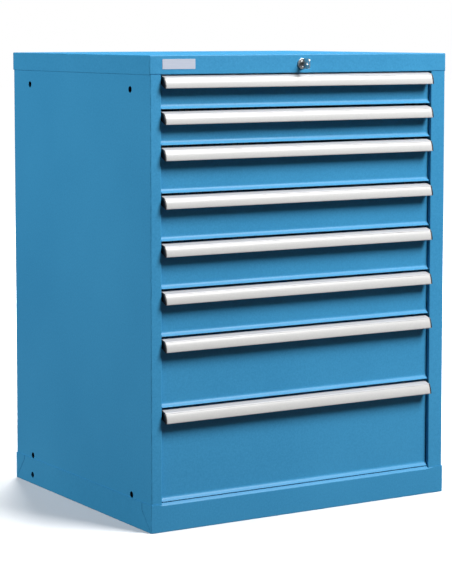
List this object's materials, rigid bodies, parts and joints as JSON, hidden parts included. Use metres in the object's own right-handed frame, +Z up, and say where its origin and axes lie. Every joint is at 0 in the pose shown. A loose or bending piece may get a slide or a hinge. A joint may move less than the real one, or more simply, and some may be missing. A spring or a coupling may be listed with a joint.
{
  "type": "modular drawer cabinet",
  "caption": "Free-standing sheet-steel drawer cabinet with full-width handles, full-extension drawers on telescopic runners, and a central key lock.",
  "frame": {"origin": "middle of the base tray's underside, on the floor", "axes": "+X to the right along the front, +Y towards the back, +Z up; the drawers open towards -Y"},
  "size_m": [0.764, 0.6749, 1],
  "materials": {
    "carcass_paint": "light blue powder coat, fine orange peel, satin",
    "tray_paint": "light grey powder coat, satin",
    "handle_white": "extruded aluminium, white stove enamel, satin",
    "label_white": "smooth white label strip, satin",
    "end_cap_dark": "moulded dark plastic, matt",
    "zinc_steel": "zinc-plated rolled steel",
    "lock_chrome": "chromed die casting, satin",
    "key_nickel": "stamped nickel-plated brass, worn"
  },
  "bodies": {
    "cabinet": {"side_panel_left": "carcass_paint", "side_panel_right": "carcass_paint", "back_panel": "carcass_paint", "top_cap": "carcass_paint", "base_tray": "carcass_paint", "runner_uprights": "zinc_steel", "fixed_runners": "zinc_steel", "lock_cylinder": "lock_chrome"},
    "lock_plug": {"lock_plug": "lock_chrome", "key": "key_nickel", "lock_cam": "zinc_steel"},
    "lock_bar": {"lock_bar": "zinc_steel"},
    "drawer_1": {"drawer_1_tray": "tray_paint", "drawer_1_front": "carcass_paint", "drawer_1_handle": "handle_white", "drawer_1_label_strip": "label_white", "drawer_1_end_caps": "end_cap_dark"},
    "drawer_1_runners": {"drawer_1_middle_runners": "zinc_steel"},
    "drawer_2": {"drawer_2_tray": "tray_paint", "drawer_2_front": "carcass_paint", "drawer_2_handle": "handle_white", "drawer_2_label_strip": "label_white", "drawer_2_end_caps": "end_cap_dark"},
    "drawer_2_runners": {"drawer_2_middle_runners": "zinc_steel"},
    "drawer_3": {"drawer_3_tray": "tray_paint", "drawer_3_front": "carcass_paint", "drawer_3_handle": "handle_white", "drawer_3_label_strip": "label_white", "drawer_3_end_caps": "end_cap_dark"},
    "drawer_3_runners": {"drawer_3_middle_runners": "zinc_steel"},
    "drawer_4": {"drawer_4_tray": "tray_paint", "drawer_4_front": "carcass_paint", "drawer_4_handle": "handle_white", "drawer_4_label_strip": "label_white", "drawer_4_end_caps": "end_cap_dark"},
    "drawer_4_runners": {"drawer_4_middle_runners": "zinc_steel"},
    "drawer_5": {"drawer_5_tray": "tray_paint", "drawer_5_front": "carcass_paint", "drawer_5_handle": "handle_white", "drawer_5_label_strip": "label_white", "drawer_5_end_caps": "end_cap_dark"},
    "drawer_5_runners": {"drawer_5_middle_runners": "zinc_steel"},
    "drawer_6": {"drawer_6_tray": "tray_paint", "drawer_6_front": "carcass_paint", "drawer_6_handle": "handle_white", "drawer_6_label_strip": "label_white", "drawer_6_end_caps": "end_cap_dark"},
    "drawer_6_runners": {"drawer_6_middle_runners": "zinc_steel"},
    "drawer_7": {"drawer_7_tray": "tray_paint", "drawer_7_front": "carcass_paint", "drawer_7_handle": "handle_white", "drawer_7_label_strip": "label_white", "drawer_7_end_caps": "end_cap_dark"},
    "drawer_7_runners": {"drawer_7_middle_runners": "zinc_steel"},
    "drawer_8": {"drawer_8_tray": "tray_paint", "drawer_8_front": "carcass_paint", "drawer_8_handle": "handle_white", "drawer_8_label_strip": "label_white", "drawer_8_end_caps": "end_cap_dark"},
    "drawer_8_runners": {"drawer_8_middle_runners": "zinc_steel"}
  },
  "joints": [
    {"name": "lock_turn", "type": "hinge", "parent": "cabinet", "child": "lock_plug", "pos_m": [-0.0065, -0.3215, 0.98], "axis": [0, 1, 0], "range_deg": [0, 90]},
    {"name": "lock_bar_slide", "type": "slide", "parent": "cabinet", "child": "lock_bar", "axis": [0, 0, -1], "range_m": [0, 0.006]},
    {"name": "drawer_1_slide", "type": "slide", "parent": "cabinet", "child": "drawer_1", "axis": [0, -1, 0], "range_m": [0, 0.6]},
    {"name": "drawer_1_runner_slide", "type": "slide", "parent": "cabinet", "child": "drawer_1_runners", "axis": [0, -1, 0], "range_m": [0, 0.3]},
    {"name": "drawer_2_slide", "type": "slide", "parent": "cabinet", "child": "drawer_2", "axis": [0, -1, 0], "range_m": [0, 0.6]},
    {"name": "drawer_2_runner_slide", "type": "slide", "parent": "cabinet", "child": "drawer_2_runners", "axis": [0, -1, 0], "range_m": [0, 0.3]},
    {"name": "drawer_3_slide", "type": "slide", "parent": "cabinet", "child": "drawer_3", "axis": [0, -1, 0], "range_m": [0, 0.6]},
    {"name": "drawer_3_runner_slide", "type": "slide", "parent": "cabinet", "child": "drawer_3_runners", "axis": [0, -1, 0], "range_m": [0, 0.3]},
    {"name": "drawer_4_slide", "type": "slide", "parent": "cabinet", "child": "drawer_4", "axis": [0, -1, 0], "range_m": [0, 0.6]},
    {"name": "drawer_4_runner_slide", "type": "slide", "parent": "cabinet", "child": "drawer_4_runners", "axis": [0, -1, 0], "range_m": [0, 0.3]},
    {"name": "drawer_5_slide", "type": "slide", "parent": "cabinet", "child": "drawer_5", "axis": [0, -1, 0], "range_m": [0, 0.6]},
    {"name": "drawer_5_runner_slide", "type": "slide", "parent": "cabinet", "child": "drawer_5_runners", "axis": [0, -1, 0], "range_m": [0, 0.3]},
    {"name": "drawer_6_slide", "type": "slide", "parent": "cabinet", "child": "drawer_6", "axis": [0, -1, 0], "range_m": [0, 0.6]},
    {"name": "drawer_6_runner_slide", "type": "slide", "parent": "cabinet", "child": "drawer_6_runners", "axis": [0, -1, 0], "range_m": [0, 0.3]},
    {"name": "drawer_7_slide", "type": "slide", "parent": "cabinet", "child": "drawer_7", "axis": [0, -1, 0], "range_m": [0, 0.6]},
    {"name": "drawer_7_runner_slide", "type": "slide", "parent": "cabinet", "child": "drawer_7_runners", "axis": [0, -1, 0], "range_m": [0, 0.3]},
    {"name": "drawer_8_slide", "type": "slide", "parent": "cabinet", "child": "drawer_8", "axis": [0, -1, 0], "range_m": [0, 0.6]},
    {"name": "drawer_8_runner_slide", "type": "slide", "parent": "cabinet", "child": "drawer_8_runners", "axis": [0, -1, 0], "range_m": [0, 0.3]}
  ],
  "couplings": [
    {"joint": "lock_turn", "follows": "lock_bar_slide", "rad_per_m": 261.8},
    {"joint": "drawer_1_runner_slide", "follows": "drawer_1_slide", "ratio": 0.5},
    {"joint": "drawer_2_runner_slide", "follows": "drawer_2_slide", "ratio": 0.5},
    {"joint": "drawer_3_runner_slide", "follows": "drawer_3_slide", "ratio": 0.5},
    {"joint": "drawer_4_runner_slide", "follows": "drawer_4_slide", "ratio": 0.5},
    {"joint": "drawer_5_runner_slide", "follows": "drawer_5_slide", "ratio": 0.5},
    {"joint": "drawer_6_runner_slide", "follows": "drawer_6_slide", "ratio": 0.5},
    {"joint": "drawer_7_runner_slide", "follows": "drawer_7_slide", "ratio": 0.5},
    {"joint": "drawer_8_runner_slide", "follows": "drawer_8_slide", "ratio": 0.5}
  ]
}
